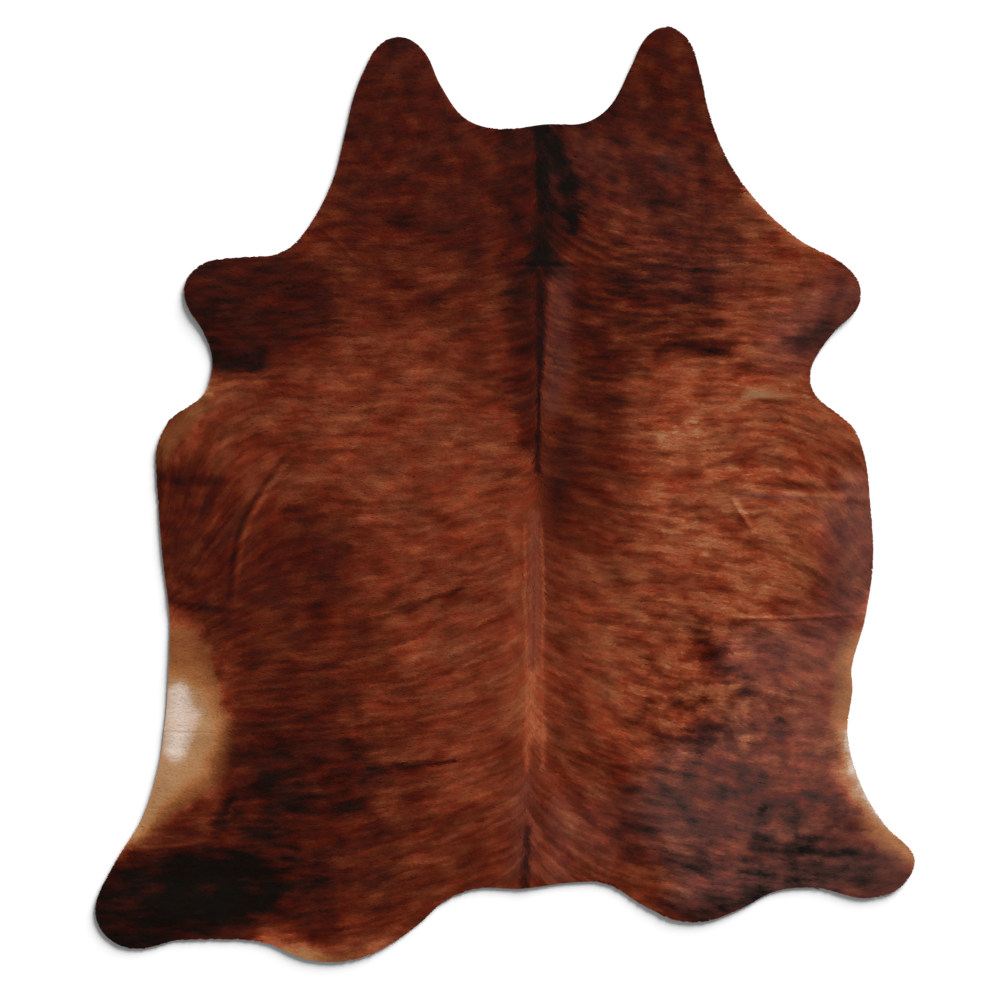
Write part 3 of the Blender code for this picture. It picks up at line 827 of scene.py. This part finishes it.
def coat_finish():
    """Hair from near black to cream, broken up by streaks along its flow or by clouds, with
    ruddy parts, golden parts and a painted grey sheen added to its colour."""
    ruddy_tint = (1.0, 0.50, 0.42, 1.0)
    golden_tint = (1.0, 1.20, 1.0, 1.0)
    painted_sheen_grey = (0.0400, 0.0235, 0.0205, 1.0)
    hair = Finish("hide hair", Roughness=0.55, Specular_IOR_Level=0.04)
    fields = hair.node("Attribute", {"attribute_name": "coat"})
    tone, brindle, sheen = [
        hair.node("SeparateColor", output=kind, Color=fields) for kind in (TONE, BRINDLE, SHEEN)]
    blotch = hair.node("Attribute", {"attribute_name": "coat"}, output=3)   # its alpha

    # Each noise has how often it changes in a metre, along the hair and across it
    fine = hair.noise(hair.map("flow", 22.0, 220.0), detail=2.0, roughness=0.6)
    medium = hair.noise(hair.map("flow", 14.0, 75.0), detail=2.0)
    broad = hair.noise(hair.map("flow", 10.0, 24.0), detail=2.0)
    cloud = hair.noise(hair.map("root", 22.0, 26.0), detail=3.0)
    ruddy = hair.noise(hair.map("flow", 8.0, 14.0), detail=5.0, roughness=0.9).step(0.3, 0.7)
    lock = hair.node("TexWhiteNoise", {"noise_dimensions": "2D"},
                     Vector=hair.map("root", 1.0, 1.0))
    strand = hair.noise(hair.map("strand", 0.7, 3.0), detail=1.0)

    # Pale hair is the evenest, and the grain makes none paler than the ceiling
    golden = blotch.step(GOLDEN_FROM, GOLDEN_FULL)
    streaks = (medium - 0.5) * 0.75 + (broad - 0.5) * 0.70
    clouds = (cloud - 0.5) * (0.40 + blotch * 1.2) * (1.0 - golden * 0.75)
    grain = streaks * (1.0 - blotch) + clouds
    strong = (1.0 - tone.step(0.74, 0.94) * 0.8) * (0.50 + brindle * 0.9)
    ceiling = tone.most(0.74) + 0.07
    tone = (tone + grain * strong).soft_least(ceiling, 0.08)
    tone = tone + ((fine - 0.5) * 0.22 + (lock - 0.5) * 0.08) * strong
    colour = hair.node("ValToRGB", {"stops": (
        (0.00, (0.0045, 0.0036, 0.0025)),
        (0.15, (0.0170, 0.0044, 0.0029)),
        (0.35, (0.0490, 0.0080, 0.0036)),
        (0.50, (0.0845, 0.0167, 0.0053)),
        (0.65, (0.1412, 0.0333, 0.0128)),
        (0.78, (0.2082, 0.0580, 0.0222)),
        (0.86, (0.2950, 0.0920, 0.0370)),
        (0.93, (0.3300, 0.1750, 0.0850)),
        (1.00, (0.6000, 0.4900, 0.4200)))}, Fac=tone)
    ruddy = ruddy * (1.0 - golden.most(tone.step(0.80, 0.94)))
    golden = golden * (1.0 - tone.step(0.84, 0.95))
    colour = hair.blend(ruddy, colour, ruddy_tint, "MULTIPLY")
    colour = hair.blend(golden, colour, golden_tint, "MULTIPLY")
    # painted sheen: a grey added to the base colour, stronger on paler hair
    colour = hair.blend(sheen * (0.3 + tone * 1.7), colour, painted_sheen_grey, "ADD")
    hair.wear("Base Color", colour)
    hair.wear("Normal", hair.node("Bump", Strength=0.10, Distance=0.0004, Height=strand))
    return hair.material


SKIN_STRANDS = (50.0, 300.0)        # strands to a metre of bare skin, along and across
LOCK_GRID = 0.00325                 # one lock of hair to each cell of this grid
LOCK_LENGTH = (0.011, 0.019)
LOCK_WIDTH = (0.0028, 0.0044)
LOCK_RISE = 0.0028                  # how high a lock's middle lies over the skin
# A lock's outline: the share of its length, its share of the width and of the rise
LOCK_STATIONS = ((0.0, 0.8, 0.8), (0.5, 1.0, 1.0), (1.0, 0.0, 0.98))
LOCK_CORNERS = 5
LOCK_STRANDS = 2.0                  # strands across a lock
LOCK_LIFT = (0.95, 1.05)            # least and greatest share of the rise that a lock has
LOCK_SPREAD = math.radians(8)
LOCK_ROLL = 0.008
LOCK_BEND = 0.06
LOCK_SEED = 11
ROOT_STRAY = 0.45                   # share of a cell by which a root strays from its middle
STRAND_SHIFT = 40.0                 # how far apart two locks' strands may start
PARTING = 0.020                     # the hair turns aside over this distance from the spine
LEAST_RISE = 0.3                    # keeps the hair from turning back towards the neck
COWLICK = math.radians(10)
COWLICK_SIZE = 0.06
OVERHANG = 0.002                    # how far the locks cut at the edge may stand out
BAKE_MARGIN = 0.2                   # share of a bake map's cell left free on each side
HAIR_BANDS = ("rump_hair", "flank_hair", "belly_hair", "shoulder_hair", "neck_hair")


def hair_directions(points):
    """Which way the hair lies: out from the spine, along a line of one flow value."""
    tiny = 0.0005
    out, began = flow(points)
    _, right = flow(points + (tiny, 0.0))
    _, upper = flow(points + (0.0, tiny))
    slope_x = (right - began) / tiny
    slope_y = np.maximum((upper - began) / tiny, LEAST_RISE)
    side = np.sign(out)
    parted = np.tanh(np.abs(out) / PARTING)
    way = np.column_stack((side * slope_y * parted, -side * slope_x))
    return way / np.linalg.norm(way, axis=1)[:, None]


def grow_locks():
    """Root, direction, length and width of every lock, and its column and row."""
    chance = np.random.default_rng(LOCK_SEED)
    roots, column, row = even_spread(LOCK_GRID)
    roots = roots + chance.uniform(-ROOT_STRAY, ROOT_STRAY, roots.shape) * LOCK_GRID
    grown = inside(roots, rim)
    roots, column, row = roots[grown], column[grown], row[grown]
    count = len(roots)
    way = hair_directions(roots)
    yaw = chance.normal(0.0, LOCK_SPREAD, count)
    yaw += COWLICK * wander(roots, COWLICK_SIZE, seed=5)
    way = np.column_stack((
        way[:, 0] * np.cos(yaw) - way[:, 1] * np.sin(yaw),
        way[:, 0] * np.sin(yaw) + way[:, 1] * np.cos(yaw)))
    length = chance.uniform(*LOCK_LENGTH, count)
    width = chance.uniform(*LOCK_WIDTH, count)

    # A lock whose tip would pass the outline is cut to about the share that lies inside
    past = np.flatnonzero(~inside(roots + way * length[:, None], outline))
    reach = np.zeros(len(past))
    for share in (0.5, 0.25, 0.125, 0.0625):
        tried = reach + share
        spots = roots[past] + way[past] * (length[past] * tried)[:, None]
        reach = np.where(inside(spots, outline), tried, reach)
    length[past] = length[past] * reach + OVERHANG * chance.uniform(0.5, 1.0, len(past))
    return roots, way, length, width, column, row


def lock_mesh(name, roots, way, length, width, cells):
    """A mesh of locks, each a quad and a triangle that taper to a tip."""
    chance = np.random.default_rng(len(roots))
    count = len(roots)
    across = np.column_stack((-way[:, 1], way[:, 0]))
    roll = chance.normal(0.0, LOCK_ROLL, count)
    lifts = chance.uniform(*LOCK_LIFT, count) * LOCK_RISE
    bend = chance.normal(0.0, LOCK_BEND, count)
    vertices = np.empty((count, LOCK_CORNERS, 3))
    corner = 0
    for share, wide, rise in LOCK_STATIONS:
        centre = roots + way * (length * share)[:, None]
        centre = centre + across * (length * bend * share ** 2)[:, None]
        for side in ((-0.5, 0.5) if wide else (0.0,)):
            offset = side * wide * width
            spots = centre + across * offset[:, None]
            vertices[:, corner, :2] = spots
            vertices[:, corner, 2] = skin_top(spots) + lifts * rise + offset * roll
            corner += 1
    first = np.arange(count)[:, None] * LOCK_CORNERS
    mesh = build_mesh(name, vertices.reshape(-1, 3), [
        first + np.array([[0, 2, 3, 1]]), first + np.array([[2, 4, 3]])])
    along = np.tile((0.0, 0.0, 0.5, 0.5, 1.0), count)
    aside = np.tile((0.0, 1.0, 0.0, 1.0, 0.5), count)
    shift = np.repeat(chance.uniform(0.0, STRAND_SHIFT, count), LOCK_CORNERS)
    lay_coat(mesh, roots, vertices[:, :, :2].reshape(-1, 2),
             np.column_stack((along, aside * LOCK_STRANDS + shift)))
    within = BAKE_MARGIN + (1.0 - 2 * BAKE_MARGIN) * np.column_stack((aside, along))
    put_map(mesh, "OFBake", (np.repeat(cells, LOCK_CORNERS, axis=0) + within)
            / (cells.max(axis=0) + 1.0))
    return mesh


hair = coat_finish()
suede = suede_finish()
skin, spots = skin_mesh()
lay_coat(skin, spots, spots, np.column_stack(flow(spots)) * SKIN_STRANDS)
hide = add_piece("skin", skin, [hair, suede])

roots, way, length, width, column, row = grow_locks()
bands = len(HAIR_BANDS)
cuts = np.quantile(roots[:, 1], np.linspace(0.0, 1.0, bands + 1))
band_of = np.clip(np.searchsorted(cuts, roots[:, 1], "right") - 1, 0, bands - 1)
shelf = column.max() // 2 + 1       # each band's bake map holds its two halves in two shelves
for band, name in enumerate(HAIR_BANDS):
    own = band_of == band
    rows = row[own] - row[own].min()
    cells = np.column_stack((column[own] % shelf, rows + column[own] // shelf * (rows.max() + 1)))
    mesh = lock_mesh(name, roots[own], way[own], length[own], width[own], cells)
    add_piece(name, mesh, [hair])

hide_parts("hide")

# ------------------------------------------------------------------------ Floor and light
# A plain white studio floor. One broad low light from the upper right draws the folds
# and a soft shadow along the lower left edges, and an even white surround fills it.
FLOOR_SIZE = 14.0
FLOOR_GAP = 0.0003                  # the floor lies this far under the rug
LIGHT_FROM = (0.55, 0.83)
LIGHT_ELEVATION = math.radians(18)
LIGHT_WIDTH = math.radians(36)
LIGHT_STRENGTH = 9.75
FILL_STRENGTH = 0.28

half = FLOOR_SIZE / 2
floor_corners = np.array([
    (-half, -half, -FLOOR_GAP), (half, -half, -FLOOR_GAP),
    (half, half, -FLOOR_GAP), (-half, half, -FLOOR_GAP)])
floor_mesh = build_mesh("floor", floor_corners, [np.array([[0, 1, 2, 3]])])
white = Finish("white floor", Base_Color=(0.85, 0.85, 0.85, 1.0), Roughness=0.8,
               Specular_IOR_Level=0.1)
floor_mesh.materials.append(white.material)
add_object("floor", floor_mesh)

lamp = bpy.data.lights.new("broad light", "SUN")
lamp.energy = LIGHT_STRENGTH
lamp.angle = LIGHT_WIDTH
light = add_object("broad_light", lamp)
toward_light = Vector((*LIGHT_FROM, math.hypot(*LIGHT_FROM) * math.tan(LIGHT_ELEVATION)))
light.rotation_mode = "QUATERNION"
light.rotation_quaternion = toward_light.to_track_quat("Z", "Y")

surround = bpy.data.worlds.new("white surround")
surround.use_nodes = True
surround.node_tree.nodes["Background"].inputs["Color"].default_value = (1.0, 1.0, 1.0, 1.0)
surround.node_tree.nodes["Background"].inputs["Strength"].default_value = FILL_STRENGTH
bpy.context.scene.world = surround
